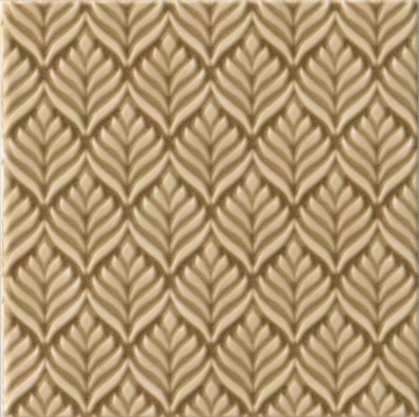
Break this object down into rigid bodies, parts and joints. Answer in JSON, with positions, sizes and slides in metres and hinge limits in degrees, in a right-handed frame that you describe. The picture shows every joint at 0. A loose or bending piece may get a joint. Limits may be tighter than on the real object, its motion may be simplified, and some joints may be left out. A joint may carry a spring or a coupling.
{
  "type": "ceramic tile",
  "caption": "Square glazed wall tile with a half-drop pattern of feathered leaves pressed in relief, a rounded arris, and shallow keying grooves on its back.",
  "frame": {"origin": "centre of the back, on the plane that the tile is bedded on", "axes": "+Z out of the decorated face, +Y the way the leaves point, +X to the right of the face"},
  "size_m": [0.152, 0.152, 0.0096],
  "materials": {
    "glaze": "translucent caramel glaze over a pressed cream body, satin gloss, thin on the crests and pooled dark in the ground"
  },
  "bodies": {
    "root": {"relief_tile": "glaze"}
  },
  "joints": []
}
